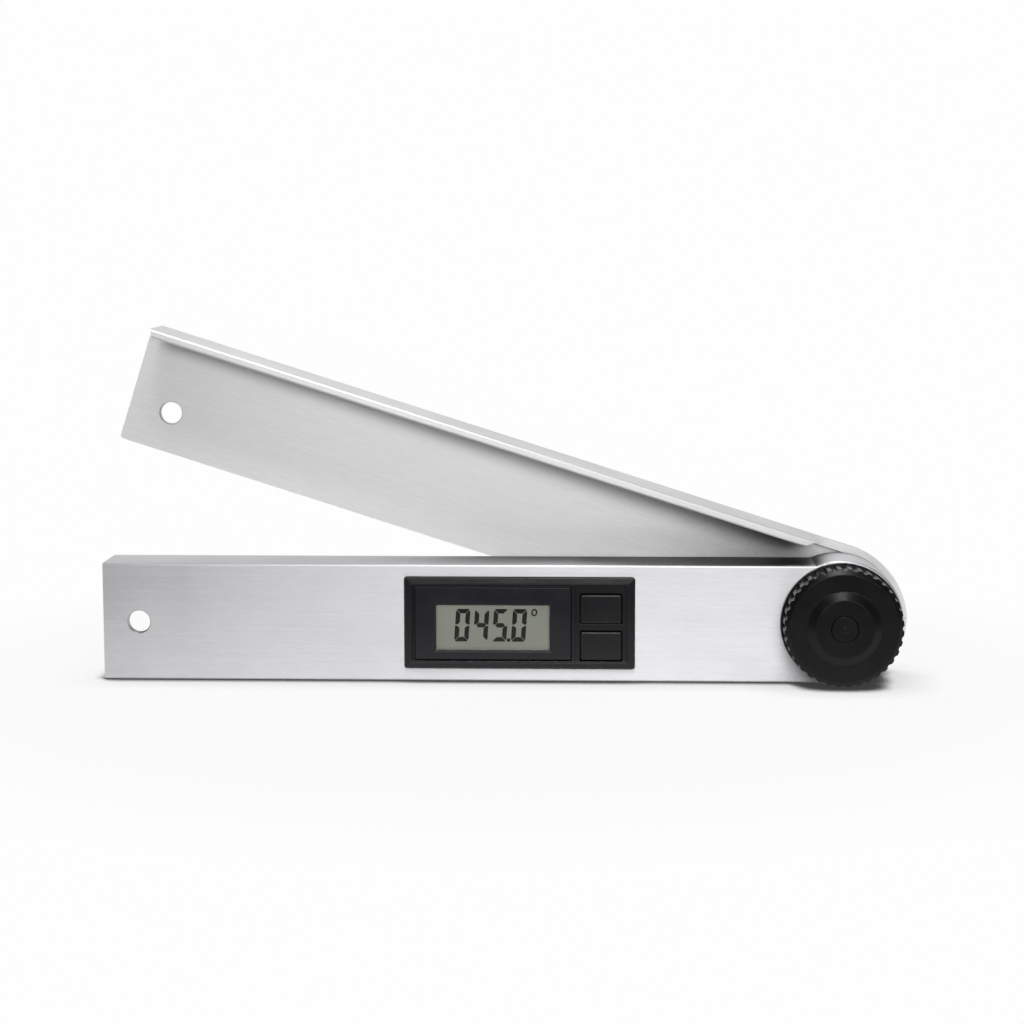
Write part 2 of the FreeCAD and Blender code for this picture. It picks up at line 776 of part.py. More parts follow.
def pivot_shaft():
    """A stepped steel shaft riveted into the web, with the knob's thread at the front."""
    shoulder = 2 * thrust_washer_wall
    thread_end = knob_face + cap_height
    shaft = disc(shaft_radius, shoulder, web_back)
    thread = disc(thread_radius, thread_end, shoulder)
    head = cone(rivet_radius, rivet_radius - rivet_height, web_back, web_back + rivet_height)
    return open_arm(fuse(shaft, thread, head))


def friction_washer():
    washer = ring(boss_radius, shaft_radius + running_gap,
                  base_depth + friction_washer_play, web_depth)
    return open_arm(washer)


def thrust_washer():
    return ring(thrust_washer_radius, thread_radius + running_gap, -thrust_washer_wall, 0)


# Lock knob

def insert_radius():
    return thread_radius + running_gap + insert_wall


def knob_blank():
    """The knob's outside, turned: rear ring, grip, chamfer, raised crown and the cap's seat."""
    ring_front = knob_back - knob_ring_height
    seat = crown_face + cap_height
    hole = cap_radius + cap_groove
    return turned([(0, knob_back), (knob_ring_radius, knob_back), (knob_ring_radius, ring_front),
                   (grip_radius, ring_front), (grip_radius, knob_face + grip_chamfer),
                   (grip_face_radius, knob_face), (crown_base_radius, knob_face),
                   (crown_face_radius, crown_face), (hole, crown_face), (hole, seat), (0, seat)])


def knob_body():
    knob = knob_blank()
    ring_front = knob_back - knob_ring_height
    grooves = [disc(scallop_radius, knob_face - 1, ring_front, x, z)
               for x, z in around(scallop_count, grip_radius + scallop_radius - scallop_depth)]
    knob = knob.cut(Part.makeCompound(grooves))
    hub = insert_radius() + insert_boss_wall
    hollow = ring(grip_radius - scallop_depth - knob_shell, hub,
                  knob_face + knob_shell, knob_back + 1)
    spokes = []
    for i in range(knob_rib_count):
        spoke = box(pivot_x, pivot_x + grip_radius, knob_face, knob_back + 1,
                    pivot_height - knob_rib_wall / 2, pivot_height + knob_rib_wall / 2)
        spoke.rotate(V(pivot_x, 0, pivot_height), V(0, 1, 0), 360.0 * i / knob_rib_count)
        spokes.append(spoke)
    knob = knob.cut(hollow.cut(Part.makeCompound(spokes)))
    bore = disc(insert_radius() + seat_gap, knob_face + cap_height, knob_back + 1)
    return knob.cut(bore)


def knob_insert():
    """A twelve-sided brass nut moulded into the knob."""
    seat = knob_face + cap_height
    corners = [V(x, front + seat, z) for x, z in around(insert_sides, insert_radius())]
    nut = Part.Face(Part.makePolygon(corners + corners[:1])).extrude(V(0, knob_back - seat, 0))
    return nut.cut(disc(thread_radius + running_gap, knob_face, 1))


def knob_cap():
    """A round cap with a fine step and a centre dimple."""
    back = crown_face + cap_height
    face = crown_face - cap_proud
    step = cap_proud / 2
    return turned([(0, back), (cap_radius, back), (cap_radius, face + step),
                   (cap_radius - step, face), (dimple_radius, face), (0, face + dimple_radius / 2)])


def main():
    os.makedirs("parts", exist_ok=True)
    upper, lower = button_places()
    nodes = {
        "base_arm": base_arm(), "back_cover": back_cover(), "cover_screws": cover_screws(),
        "pivot_bush": pivot_bush(), "bezel_frame": bezel_frame(), "display_plate": display_plate(),
        "window_lens": window_lens(), "lcd_glass": lcd_glass(), "lcd_holder": lcd_holder(),
        "elastomer_strips": elastomer_strips(), "circuit_board": circuit_board(),
        "board_screws": board_screws(), "button_switches": button_switches(),
        "hold_button": button(*upper), "zero_button": button(*lower),
        "encoder_stator": encoder_stator(), "stator_screws": stator_screws(),
        "ribbon_cable": ribbon_cable(), "battery_cell": battery_cell(),
        "battery_tray": battery_tray(), "battery_contact": battery_contact(),
        "battery_clip": battery_clip(), "battery_door": battery_door(), "door_seal": door_seal(),
        "outer_arm": outer_arm(), "pivot_shaft": pivot_shaft(), "encoder_rotor": encoder_rotor(),
        "rotor_carrier": rotor_carrier(), "friction_washer": friction_washer(),
        "thrust_washer": thrust_washer(), "knob_body": knob_body(), "knob_insert": knob_insert(),
        "knob_cap": knob_cap(),
    }
    for name, shape in nodes.items():
        export(name, shape)


main()
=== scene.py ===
"""Looks of the digital angle finder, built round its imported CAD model. Metres, Z up."""

import json
import math

import bmesh
import bpy
from mathutils import Matrix, Vector


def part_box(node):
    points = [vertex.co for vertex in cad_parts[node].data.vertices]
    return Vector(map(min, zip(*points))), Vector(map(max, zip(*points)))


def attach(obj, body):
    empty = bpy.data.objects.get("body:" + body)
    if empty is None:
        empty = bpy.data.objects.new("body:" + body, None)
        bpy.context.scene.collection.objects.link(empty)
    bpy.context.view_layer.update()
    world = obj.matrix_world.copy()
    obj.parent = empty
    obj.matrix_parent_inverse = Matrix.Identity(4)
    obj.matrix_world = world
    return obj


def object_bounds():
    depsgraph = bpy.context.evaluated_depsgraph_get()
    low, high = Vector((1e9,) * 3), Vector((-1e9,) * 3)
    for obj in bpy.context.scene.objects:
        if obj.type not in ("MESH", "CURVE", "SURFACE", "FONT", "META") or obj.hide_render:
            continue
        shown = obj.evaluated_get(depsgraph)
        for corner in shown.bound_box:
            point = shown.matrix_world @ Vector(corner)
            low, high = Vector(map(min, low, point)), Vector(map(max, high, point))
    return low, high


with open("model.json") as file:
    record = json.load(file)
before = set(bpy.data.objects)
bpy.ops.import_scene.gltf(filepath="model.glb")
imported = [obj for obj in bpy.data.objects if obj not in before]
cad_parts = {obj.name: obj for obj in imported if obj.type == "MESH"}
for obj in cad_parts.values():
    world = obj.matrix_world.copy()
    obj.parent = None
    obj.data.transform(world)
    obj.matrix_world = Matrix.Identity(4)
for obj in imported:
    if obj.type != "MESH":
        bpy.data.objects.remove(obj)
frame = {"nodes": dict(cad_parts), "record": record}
cad_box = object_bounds()
nodes = frame["nodes"]

swing = next(joint for joint in frame["record"]["behaviour"]["joints"] if joint["name"] == "arm_swing")

MM = 0.001
PIVOT = Vector(swing["pos_m"])
OPEN_ANGLE = -math.radians(swing["range_deg"][0])       # between the two arms at rest


# Node graphs

NOISE_LOW, NOISE_HIGH = 0.3, 0.7        # where most of a noise's values lie
OPENNESS_SAMPLES = 8
EDGE_SAMPLES = 6


def feed(tree, node, inputs):
    """Sets a node's inputs to numbers, vectors, colours without alpha, or other nodes' outputs."""
    for key, value in inputs.items():
        socket = node.inputs[key]
        if isinstance(value, bpy.types.NodeSocket):
            tree.links.new(value, socket)
        elif socket.type == "RGBA":
            socket.default_value = (*value, 1)
        else:
            socket.default_value = value
    return node


def add(tree, kind, inputs=None):
    """Adds a node and sets the inputs that are given."""
    return feed(tree, tree.nodes.new(kind), inputs or {})


def empty_tree(owner):
    """The node tree of a material or world, cleared."""
    owner.use_nodes = True
    owner.node_tree.nodes.clear()
    return owner.node_tree


def principled(name):
    """A material with one Principled shader, and its node tree."""
    material = bpy.data.materials.new(name)
    tree = empty_tree(material)
    shader = add(tree, "ShaderNodeBsdfPrincipled")
    add(tree, "ShaderNodeOutputMaterial", {"Surface": shader.outputs[0]})
    return material, tree, shader


def place(tree, scale=(1, 1, 1), turn=(0, 0, 0), shift=(0, 0, 0)):
    """The object's own coordinates, turned and shifted, then scaled. They move with the piece."""
    own = add(tree, "ShaderNodeTexCoord").outputs["Object"]
    turned = add(tree, "ShaderNodeMapping", {"Vector": own, "Location": shift, "Rotation": turn})
    return add(tree, "ShaderNodeMapping", {"Vector": turned.outputs[0], "Scale": scale}).outputs[0]


def noise(tree, vector, scale, detail=2.0, roughness=0.55):
    """A noise pattern, mostly between NOISE_LOW and NOISE_HIGH."""
    inputs = {"Vector": vector, "Scale": scale, "Detail": detail, "Roughness": roughness}
    return add(tree, "ShaderNodeTexNoise", inputs).outputs["Fac"]


def spread(tree, value, low, high, start=0.0, end=1.0):
    """Maps a value from start..end to low..high, and holds it at those beyond."""
    inputs = {"Value": value, "From Min": start, "From Max": end, "To Min": low, "To Max": high}
    return add(tree, "ShaderNodeMapRange", inputs).outputs[0]


def vary(tree, pattern, low, high):
    """Maps a noise pattern to low..high."""
    return spread(tree, pattern, low, high, NOISE_LOW, NOISE_HIGH)


def combine(tree, operation, a, b):
    """One step of arithmetic on two values."""
    node = add(tree, "ShaderNodeMath")
    node.operation = operation
    return feed(tree, node, {0: a, 1: b}).outputs[0]


def plus(tree, a, b):
    return combine(tree, "ADD", a, b)


def times(tree, a, b):
    return combine(tree, "MULTIPLY", a, b)


def weighted(tree, first, second, share):
    """Two values added, by the first one's share."""
    return plus(tree, times(tree, first, share), times(tree, second, 1 - share))


def vector_math(tree, operation, inputs):
    """One step of arithmetic on vectors, as a node."""
    node = add(tree, "ShaderNodeVectorMath")
    node.operation = operation
    return feed(tree, node, inputs)


def axes(tree, vector):
    """The parts of a vector, by their names X, Y and Z."""
    return add(tree, "ShaderNodeSeparateXYZ", {0: vector}).outputs


def surface_normal(tree):
    return add(tree, "ShaderNodeNewGeometry").outputs["Normal"]


def tint(tree, factor, dark, light):
    """A colour between two, by a factor. Either can come from other nodes."""
    node = add(tree, "ShaderNodeMix")
    node.data_type = "RGBA"
    return feed(tree, node, {"Factor": factor, "A": dark, "B": light}).outputs["Result"]


def mixed(tree, factor, first, second):
    """One shader where the factor is 0, the other where it is 1."""
    inputs = {"Fac": factor, 1: first.outputs[0], 2: second.outputs[0]}
    return add(tree, "ShaderNodeMixShader", inputs)


def mirrored_rays(tree, path):
    """1 for rays that come from a gloss or through something clear."""
    return combine(tree, "MAXIMUM", path.outputs["Is Glossy Ray"], path.outputs["Is Transmission Ray"])


def openness(tree, reach, lean=0.0):
    """How open a place is, from 0 in a narrow gap to 1 on a free face. A lean looks behind the face."""
    node = add(tree, "ShaderNodeAmbientOcclusion", {"Distance": reach})
    node.samples = OPENNESS_SAMPLES
    if lean:
        leaned = vector_math(tree, "ADD", {0: surface_normal(tree), 1: (0, lean, 0)})
        unit = vector_math(tree, "NORMALIZE", {0: leaned.outputs[0]})
        feed(tree, node, {"Normal": unit.outputs[0]})
    return node.outputs["AO"]


def soft_edges(tree, radius):
    """Normals that turn round an edge, so that it catches the light as a worn edge does."""
    node = add(tree, "ShaderNodeBevel", {"Radius": radius})
    node.samples = EDGE_SAMPLES
    return node.outputs[0]


def bump(tree, shader, height, distance, strength, normal=None):
    """Relief from a height pattern, on the surface's own normal or the one given."""
    node = add(tree, "ShaderNodeBump", {"Height": height, "Distance": distance, "Strength": strength})
    if normal:
        feed(tree, node, {"Normal": normal})
    feed(tree, shader, {"Normal": node.outputs[0]})


# Brushed aluminium of the two arms

PAINTED_SHADE_COLOUR = (0.02, 0.02, 0.021)        # colour of the painted shade in gaps and corners
# How far the openness tests for the painted shade look
CORNER_REACH = 18 * MM
WALL_REACH = 35 * MM
BEHIND_REACH = 24 * MM
BEHIND_LOW = 0.08                       # share of the tone that the painted shade leaves where something stands close behind
END_GRAIN = (0, 0.01, 0.006)            # the end faces have no direction square to the length


def across_grain(tree, turn):
    """The direction in the surface that is square to an arm's length."""
    length = add(tree, "ShaderNodeCombineXYZ", {"X": math.cos(turn), "Z": math.sin(turn)})
    posed = add(tree, "ShaderNodeVectorTransform")
    posed.vector_type = "VECTOR"
    posed.convert_from = "OBJECT"
    posed.convert_to = "WORLD"
    feed(tree, posed, {0: length.outputs[0]})
    across = vector_math(tree, "CROSS_PRODUCT", {0: surface_normal(tree), 1: posed.outputs[0]})
    return vector_math(tree, "ADD", {0: across.outputs["Vector"], 1: END_GRAIN}).outputs["Vector"]


def behind_shade(tree, reach, lean, low):
    """Painted shade: darkens faces that look up where something stands close behind them."""
    upward = spread(tree, axes(tree, surface_normal(tree))["Z"], 0.0, 1.0, start=0.25, end=0.75)
    loss = spread(tree, openness(tree, reach, lean), 1.0 - low, 0.0, start=0.30, end=0.78)
    return combine(tree, "SUBTRACT", 1.0, times(tree, upward, loss))


def brushed(name, turn, dark, light, lean=0.0):
    """Clear anodised aluminium, brushed along its length: fine streaks, soft bands and a few scuffs, with
    painted shade in its corners and gaps and where something stands close behind.
    """
    material, tree, shader = principled(name)
    along = (0, turn, 0)
    fine = noise(tree, place(tree, (26, 620, 620), along), scale=9.0, detail=5.0, roughness=0.75)
    bands = noise(tree, place(tree, (3, 160, 160), along), scale=7.0, detail=3.0)
    cloud = noise(tree, place(tree, turn=along), scale=38.0)
    streak = weighted(tree, fine, bands, 0.75)
    tone = plus(tree, vary(tree, streak, -0.55, 0.55), vary(tree, cloud, NOISE_LOW, NOISE_HIGH))
    # Painted shade: the base colour is darkened in corners and gaps, and where something stands close behind
    painted_corner_shade = spread(tree, openness(tree, CORNER_REACH), 0.0, 1.0, start=0.10, end=0.44)
    if lean:
        painted_far_shade = behind_shade(tree, BEHIND_REACH, lean, BEHIND_LOW)
    else:
        painted_far_shade = spread(tree, openness(tree, WALL_REACH), 0.15, 1.0, start=0.08, end=0.36)
    feed(tree, shader, {
        "Metallic": 1.0,
        "Anisotropic": 0.75,
        "Tangent": across_grain(tree, turn),
        "Base Color": tint(tree, times(tree, painted_corner_shade, painted_far_shade), PAINTED_SHADE_COLOUR, tint(tree, tone, dark, light)),
        "Roughness": plus(tree, vary(tree, streak, 0.38, 0.50), vary(tree, cloud, -0.03, 0.04)),
    })
    bump(tree, shader, streak, distance=0.03 * MM, strength=0.5)
    return material


# Other materials

CIRCLE_PITCH = 0.42 * MM                # of the faint turned circles on the knob


def moulded(name, dark, light, rough, grain=2600.0, depth=0.02 * MM, strength=0.35, shine=0.5, edge=0.0):
    """Moulded plastic with a fine eroded texture and a faint cloud in its gloss."""
    material, tree, shader = principled(name)
    cloud = noise(tree, place(tree), scale=120.0)
    feed(tree, shader, {
        "Specular IOR Level": shine,
        "Base Color": tint(tree, cloud, dark, light),
        "Roughness": vary(tree, cloud, rough - 0.05, rough + 0.06),
    })
    grains = noise(tree, place(tree), scale=grain)
    bump(tree, shader, grains, depth, strength, soft_edges(tree, edge) if edge else None)
    return material


def turned_plastic(name, dark, light, rough):
    """Black plastic with faint turned circles round the pivot."""
    material, tree, shader = principled(name)
    centred = axes(tree, place(tree, shift=tuple(-PIVOT)))
    squares = plus(tree, times(tree, centred["X"], centred["X"]), times(tree, centred["Z"], centred["Z"]))
    radius = combine(tree, "POWER", squares, 0.5)
    circles = combine(tree, "SINE", times(tree, radius, 2 * math.pi / CIRCLE_PITCH), 0.0)
    cloud = noise(tree, place(tree), scale=150.0)
    circle_gloss = spread(tree, circles, -0.015, 0.015, start=-1.0)
    feed(tree, shader, {
        "Specular IOR Level": 0.22,
        "Base Color": tint(tree, cloud, dark, light),
        "Roughness": plus(tree, vary(tree, cloud, rough - 0.04, rough + 0.05), circle_gloss),
    })
    height = plus(tree, times(tree, circles, 0.15), noise(tree, place(tree), scale=2400.0))
    bump(tree, shader, height, distance=0.01 * MM, strength=0.5, normal=soft_edges(tree, 0.25 * MM))
    return material


def metal(name, dark, light, rough):
    """Plain metal with a fine uneven grain."""
    material, tree, shader = principled(name)
    grains = noise(tree, place(tree), scale=900.0, detail=3.0)
    feed(tree, shader, {
        "Metallic": 1.0,
        "Base Color": tint(tree, grains, dark, light),
        "Roughness": vary(tree, grains, rough - 0.07, rough + 0.09),
    })
    bump(tree, shader, grains, distance=0.01 * MM, strength=0.4)
    return material


def display_glass(name, dark, light):
    """Reflective display: grey-green with a soft grain."""
    material, tree, shader = principled(name)
    grain = noise(tree, place(tree), scale=2500.0)
    cloud = noise(tree, place(tree), scale=70.0)
    feed(tree, shader, {
        "Specular IOR Level": 0.15,
        "Base Color": tint(tree, vary(tree, weighted(tree, grain, cloud, 0.35), 0.0, 1.0), dark, light),
        "Roughness": vary(tree, grain, 0.34, 0.46),
    })
    bump(tree, shader, grain, distance=0.01 * MM, strength=0.2)
    return material


def display_ink(name, dark, light):
    """The print of the display's segments."""
    material, tree, shader = principled(name)
    grain = noise(tree, place(tree), scale=2500.0)
    feed(tree, shader, {
        "Specular IOR Level": 0.15,
        "Base Color": tint(tree, grain, dark, light),
        "Roughness": vary(tree, grain, 0.36, 0.48),
    })
    return material


def clear_lens(name, colour):
    """A thin clear window: it shows what is behind it and keeps a gloss on top."""
    material = bpy.data.materials.new(name)
    tree = empty_tree(material)
    haze = noise(tree, place(tree), scale=90.0)
    clear = add(tree, "ShaderNodeBsdfTransparent", {"Color": colour})
    gloss = add(tree, "ShaderNodeBsdfGlossy", {"Roughness": vary(tree, haze, 0.03, 0.08)})
    edge = add(tree, "ShaderNodeFresnel", {"IOR": 1.25})
    surface = mixed(tree, edge.outputs[0], clear, gloss)
    add(tree, "ShaderNodeOutputMaterial", {"Surface": surface.outputs[0]})
    return material


def circuit(name, mask, light_mask, track):
    """Solder mask over faint copper tracks."""
    material, tree, shader = principled(name)
    tracks = add(tree, "ShaderNodeTexBrick", {
        "Vector": place(tree, turn=(math.pi / 2, 0, 0)),
        "Scale": 420.0,
        "Mortar Size": 0.06,
        "Color1": mask,
        "Color2": light_mask,
        "Mortar": track,
    })
    haze = noise(tree, place(tree), scale=300.0, detail=3.0)
    feed(tree, shader, {"Base Color": tracks.outputs["Color"], "Roughness": vary(tree, haze, 0.25, 0.42)})
    bump(tree, shader, tracks.outputs["Fac"], distance=0.03 * MM, strength=0.4)
    return material


# What each slot is made of; the two arms have their own metal

ARM_METALS = {
    "base_arm": brushed("base_metal", 0.0, dark=(0.54, 0.54, 0.555), light=(0.66, 0.66, 0.675), lean=0.8),
    "outer_arm": brushed(
        "outer_metal", -OPEN_ANGLE, dark=(0.565, 0.562, 0.568), light=(0.705, 0.702, 0.708)),
}
LOOKS = {
    "knob_plastic": (turned_plastic, dict(
        dark=(0.0020, 0.0020, 0.0024), light=(0.0038, 0.0038, 0.0045), rough=0.29)),
    "panel_plastic": (moulded, dict(
        dark=(0.0052, 0.0052, 0.0066), light=(0.0078, 0.0078, 0.0100), rough=0.24,
        shine=0.35, edge=0.3 * MM)),
    "plate_black": (moulded, dict(
        dark=(0.0085, 0.0085, 0.0120), light=(0.0120, 0.0120, 0.0165), rough=0.22,
        grain=1500.0, depth=0.01 * MM, strength=0.2, shine=0.35, edge=0.2 * MM)),
    "lens_clear": (clear_lens, dict(colour=(0.97, 0.975, 0.965))),
    "lcd": (display_glass, dict(dark=(0.385, 0.394, 0.345), light=(0.45, 0.46, 0.402))),
    "cover_plastic": (moulded, dict(
        dark=(0.020, 0.020, 0.022), light=(0.032, 0.032, 0.035), rough=0.55,
        grain=1700.0, depth=0.05 * MM, strength=0.6)),
    "seal_rubber": (moulded, dict(
        dark=(0.018, 0.018, 0.018), light=(0.03, 0.03, 0.03), rough=0.75,
        grain=1200.0, depth=0.04 * MM, strength=0.5)),
    "board_green": (circuit, dict(
        mask=(0.012, 0.085, 0.035), light_mask=(0.016, 0.10, 0.042), track=(0.04, 0.20, 0.085))),
    "steel": (metal, dict(dark=(0.50, 0.50, 0.51), light=(0.64, 0.64, 0.65), rough=0.30)),
    "bronze": (metal, dict(dark=(0.52, 0.33, 0.14), light=(0.68, 0.46, 0.22), rough=0.34)),
    "switch_metal": (metal, dict(dark=(0.55, 0.55, 0.54), light=(0.70, 0.70, 0.69), rough=0.36)),
    "flat_cable": (moulded, dict(dark=(0.66, 0.66, 0.63), light=(0.78, 0.78, 0.75), rough=0.45)),
    "washer_plastic": (moulded, dict(dark=(0.74, 0.74, 0.70), light=(0.84, 0.84, 0.80), rough=0.50)),
}
MATERIALS = {slot: make(slot, **look) for slot, (make, look) in LOOKS.items()}


def dress(node, material):
    """Puts a material on a CAD node and leaves its mesh as it is."""
    if not node.material_slots:
        node.data.materials.append(material)
    for slot in node.material_slots:
        slot.link = "OBJECT"
        slot.material = material


for part in frame["record"]["subparts"]:
    name = part["node"]
    dress(nodes[name], ARM_METALS.get(name) or MATERIALS[part["material_slot"]])


# Display segments, in mm

READING = "0450"
LIT = {"0": "abcdef", "4": "bcfg", "5": "acdfg"}
DIGIT_WIDTH = 3.9
DIGIT_HEIGHT = 8.95
DIGIT_LEFT = -12.9
DIGIT_LOW = 10.8
DIGIT_PITCH = 5.14
SLANT = math.tan(math.radians(4.0))
STROKE = 1.24
CUT = STROKE * 0.45                     # how far the ends of the strokes are cut
SEGMENT_GAP = 0.2
SEGMENT_WALL = 0.02
DOT_SIZE = (0.95, 0.9)
DOT_LEFT = DIGIT_LEFT + 2 * DIGIT_PITCH + DIGIT_WIDTH + 0.12
DEGREE_CENTRE = (8.9, 18.8)
DEGREE_RADII = (0.84, 1.0)
DEGREE_STROKE = 0.42
DEGREE_STEPS = 28


def mirror(outline):
    """An outline turned left for right in its digit."""
    return [(DIGIT_WIDTH - x, z) for x, z in reversed(outline)]


def flip(outline):
    """An outline turned upside down in its digit."""
    return [(x, DIGIT_HEIGHT - z) for x, z in reversed(outline)]


def segment_outlines():
    """The seven segments by their usual letters, as outlines from the digit's lower left corner."""
    middle = DIGIT_HEIGHT / 2
    below_top = DIGIT_HEIGHT - STROKE
    top_half = [(STROKE, below_top), (SEGMENT_GAP + CUT * 0.1, DIGIT_HEIGHT - CUT * 0.4),
                (SEGMENT_GAP + CUT * 0.4, DIGIT_HEIGHT)]
    bar_half = [(STROKE, middle - STROKE / 2), (SEGMENT_GAP + CUT * 0.7, middle),
                (STROKE, middle + STROKE / 2)]
    foot = middle + SEGMENT_GAP
    left = [(0, foot), (STROKE / 2, foot), (STROKE, foot + CUT), (STROKE, below_top - SEGMENT_GAP),
            (CUT * 0.5, DIGIT_HEIGHT - CUT * 0.7), (0, DIGIT_HEIGHT - CUT * 1.3)]
    top = top_half + mirror(top_half)
    return {"a": top, "b": mirror(left), "c": flip(mirror(left)), "d": flip(top), "e": flip(left), "f": left,
            "g": bar_half + mirror(bar_half)}


def slanted(bm, outline, x, z, y):
    """The corners of an outline at a place, slanted as the digits are."""
    return [bm.verts.new((x + px + pz * SLANT, y, z + pz)) for px, pz in outline]


def wall(bm, first, second):
    """Faces between two rounds of corners."""
    count = len(first)
    for i in range(count):
        j = (i + 1) % count
        bm.faces.new((first[j], first[i], second[i], second[j]))


def add_plate(bm, outline, x, z, depths):
    """A thin plate with an outline."""
    front, back = [slanted(bm, outline, x, z, y) for y in depths]
    bm.faces.new(front)
    bm.faces.new(list(reversed(back)))
    wall(bm, front, back)


def ellipse(radius_x, radius_z):
    turns = [2 * math.pi * i / DEGREE_STEPS for i in range(DEGREE_STEPS)]
    return [(radius_x * math.cos(t), radius_z * math.sin(t)) for t in turns]


def add_degree_mark(bm, depths):
    """A thin ring."""
    outer = ellipse(*DEGREE_RADII)
    inner = ellipse(*(radius - DEGREE_STROKE for radius in DEGREE_RADII))
    outer_front, outer_back = [slanted(bm, outer, *DEGREE_CENTRE, y) for y in depths]
    inner_front, inner_back = [slanted(bm, inner, *DEGREE_CENTRE, y) for y in depths]
    wall(bm, outer_front, outer_back)
    wall(bm, inner_front, inner_back)
    wall(bm, outer_front, inner_front)
    wall(bm, outer_back, inner_back)


def segment_mesh():
    """The digits, the dot and the degree mark, half sunk in the display glass."""
    glass_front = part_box("lcd_glass")[0].y / MM
    depths = (glass_front - SEGMENT_WALL, glass_front + SEGMENT_WALL)
    bm = bmesh.new()
    outlines = segment_outlines()
    for i, digit in enumerate(READING):
        for segment in LIT[digit]:
            add_plate(bm, outlines[segment], DIGIT_LEFT + i * DIGIT_PITCH, DIGIT_LOW, depths)
    width, height = DOT_SIZE
    add_plate(bm, [(0, 0), (width, 0), (width, height), (0, height)], DOT_LEFT, DIGIT_LOW, depths)
    add_degree_mark(bm, depths)
    bmesh.ops.recalc_face_normals(bm, faces=bm.faces)
    bmesh.ops.scale(bm, vec=(MM, MM, MM), verts=bm.verts)
    mesh = bpy.data.meshes.new("display_segments")
    bm.to_mesh(mesh)
    bm.free()
    return mesh


def display_segments():
    mesh = segment_mesh()
    ink = display_ink("segment_ink", dark=(0.009, 0.0095, 0.007), light=(0.013, 0.0135, 0.011))
    mesh.materials.append(ink)
    piece = bpy.data.objects.new("display_segments", mesh)
    bpy.context.scene.collection.objects.link(piece)
    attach(piece, "base")


display_segments()


# Floor and backdrop

WHITE = (0.99, 0.99, 0.99)
FLOOR_HALF = 3.0
FLOOR_GREY = (0.80, 0.80, 0.80)         # takes the light and the shadows
FLOOR_WHITE = 0.93                      # share of plain white near the object
SHADE_RADII = (0.12, 0.20)              # between these from the middle the floor turns plain white
# Reaches of the painted contact shadow beside and under the object
BESIDE_REACH = 16 * MM
UNDER_REACH = 6 * MM

ROOM_LOW = 0.20                         # brightness of the mirrored studio in front, at the horizon
ROOM_HIGH = 1.0                         # in front, near the zenith
ROOM_BACK = 0.96                        # and behind the object
ROOM_GREY = (0.8, 0.8, 0.8)
ROOM_RISE = (0.62, 0.92)                # how far up a direction points where low turns to high
ROOM_TURN = (-0.35, 0.25)               # how far back it points where front turns to back
FLOOR_TURN = (-0.14, -0.03)             # y where the mirrored floor turns from front to back
SOFT_LIGHT = 0.22                       # of the light from all round


def stage_material(name):
    """White ground that keeps the object's shadow close by, partly a real shadow from the lamps and partly a
    painted contact shadow, and lets the arm be seen where it opens below.
    """
    material = bpy.data.materials.new(name)
    tree = empty_tree(material)
    position = add(tree, "ShaderNodeTexCoord").outputs["Object"]
    path = add(tree, "ShaderNodeLightPath")

    turn = spread(tree, axes(tree, position)["Y"], ROOM_LOW, ROOM_BACK, *FLOOR_TURN)
    room = add(tree, "ShaderNodeEmission", {"Color": WHITE, "Strength": turn})

    # Painted contact shadow: the white seen through the floor is darkened beside and under the object
    beside = spread(tree, openness(tree, BESIDE_REACH), 0.72, 1.0, start=0.4, end=0.97)
    under = spread(tree, openness(tree, UNDER_REACH), 0.06, 1.0, start=0.54, end=0.86)
    shade = tint(tree, times(tree, beside, under), (0, 0, 0), (1, 1, 1))
    backdrop = add(tree, "ShaderNodeBsdfTransparent", {"Color": shade})

    distance = vector_math(tree, "LENGTH", {0: position}).outputs["Value"]
    white = times(tree, path.outputs["Is Camera Ray"], spread(tree, distance, FLOOR_WHITE, 1.0, *SHADE_RADII))
    matt = add(tree, "ShaderNodeBsdfDiffuse", {"Color": FLOOR_GREY})
    clear = add(tree, "ShaderNodeBsdfTransparent", {"Color": (1, 1, 1)})
    seen = mixed(tree, white, matt, backdrop)
    seen_or_mirrored = mixed(tree, mirrored_rays(tree, path), seen, room)
    surface = mixed(tree, path.outputs["Is Shadow Ray"], seen_or_mirrored, clear)
    add(tree, "ShaderNodeOutputMaterial", {"Surface": surface.outputs[0]})
    return material


def ground():
    """A floor under the rest face."""
    mesh = bpy.data.meshes.new("floor")
    corners = [(-FLOOR_HALF, -FLOOR_HALF, 0), (FLOOR_HALF, -FLOOR_HALF, 0),
               (FLOOR_HALF, FLOOR_HALF, 0), (-FLOOR_HALF, FLOOR_HALF, 0)]
    mesh.from_pydata(corners, [], [(0, 1, 2, 3)])
    mesh.materials.append(stage_material("floor_white"))
    floor = bpy.data.objects.new("floor", mesh)
    floor.location = (0, 0, cad_box[0].z)
    bpy.context.scene.collection.objects.link(floor)


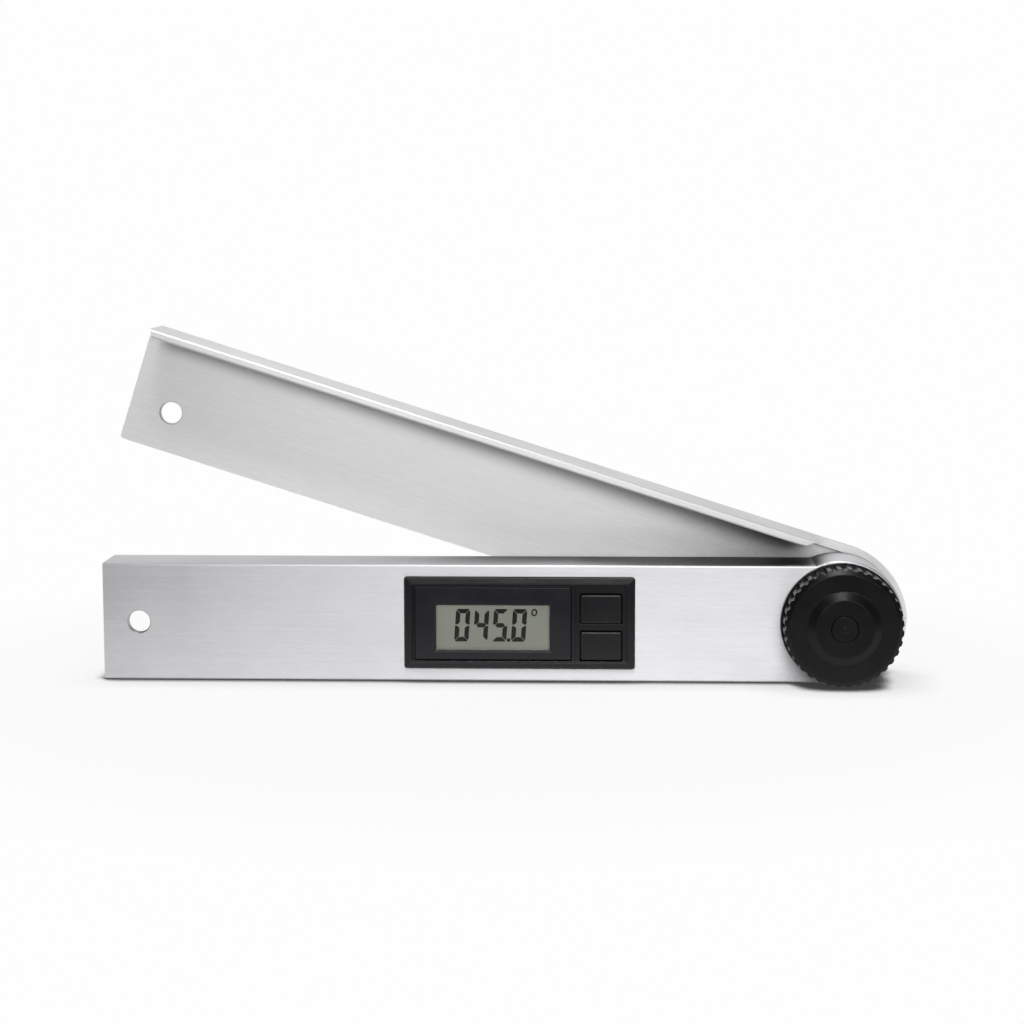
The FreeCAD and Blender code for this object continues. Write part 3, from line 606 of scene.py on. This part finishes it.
def surroundings():
    """White where it is seen, a studio with a darker front where it is mirrored, and soft as light."""
    world = bpy.data.worlds.new("studio")
    bpy.context.scene.world = world
    tree = empty_tree(world)
    path = add(tree, "ShaderNodeLightPath")
    direction = axes(tree, add(tree, "ShaderNodeTexCoord").outputs["Generated"])
    ahead = spread(tree, direction["Y"], 1.0, 0.0, *ROOM_TURN)
    front = spread(tree, direction["Z"], ROOM_LOW - ROOM_BACK, ROOM_HIGH - ROOM_BACK, *ROOM_RISE)
    brightness = plus(tree, times(tree, ahead, front), ROOM_BACK)
    room = add(tree, "ShaderNodeBackground", {"Color": ROOM_GREY, "Strength": brightness})
    seen = add(tree, "ShaderNodeBackground", {"Color": WHITE, "Strength": 1.0})
    soft = add(tree, "ShaderNodeBackground", {"Color": (1, 1, 1), "Strength": SOFT_LIGHT})
    unseen = mixed(tree, mirrored_rays(tree, path), soft, room)
    surface = mixed(tree, path.outputs["Is Camera Ray"], unseen, seen)
    add(tree, "ShaderNodeOutputWorld", {"Surface": surface.outputs[0]})


# Lamps and camera

CAMERA_PLACE = Vector((28.085, -646.415, 124.587)) * MM
CAMERA_RIGHT = Vector((0.99923, 0.03913, -0.00181))
CAMERA_FORWARD = Vector((-0.03906, 0.99181, -0.12159))
CAMERA_LENS = 84.075
CAMERA_SENSOR = 36.0
CAMERA_CLIP = (0.01, 20.0)


def lamp(name, place_at, target, size, power):
    """A rectangular lamp that looks at its target."""
    data = bpy.data.lights.new(name, "AREA")
    data.shape = "RECTANGLE"
    data.size, data.size_y = size
    data.energy = power
    light = bpy.data.objects.new(name, data)
    bpy.context.scene.collection.objects.link(light)
    light.location = place_at
    light.rotation_mode = "QUATERNION"
    light.rotation_quaternion = (Vector(target) - Vector(place_at)).to_track_quat("-Z", "Y")


def photo_camera():
    """A camera that sees the part as the photo does."""
    data = bpy.data.cameras.new("camera")
    data.sensor_width = CAMERA_SENSOR
    data.lens = CAMERA_LENS
    data.clip_start, data.clip_end = CAMERA_CLIP
    camera = bpy.data.objects.new("camera", data)
    bpy.context.scene.collection.objects.link(camera)
    back = -CAMERA_FORWARD.normalized()
    right = (CAMERA_RIGHT - CAMERA_RIGHT.dot(back) * back).normalized()
    up = back.cross(right)
    turn = Matrix((right, up, back)).transposed().to_4x4()
    camera.matrix_world = Matrix.Translation(CAMERA_PLACE) @ turn
    bpy.context.scene.camera = camera


ground()
surroundings()
lamp("key", place_at=(0.14, -1.0, 0.30), target=(0.0, 0.0, 0.04), size=(0.8, 0.22), power=4.1)
lamp("top", place_at=(0.05, -0.48, 0.90), target=(0.05, 0.0, 0.03), size=(0.32, 0.20), power=3.3)
photo_camera()
bpy.context.scene.view_settings.view_transform = "Standard"
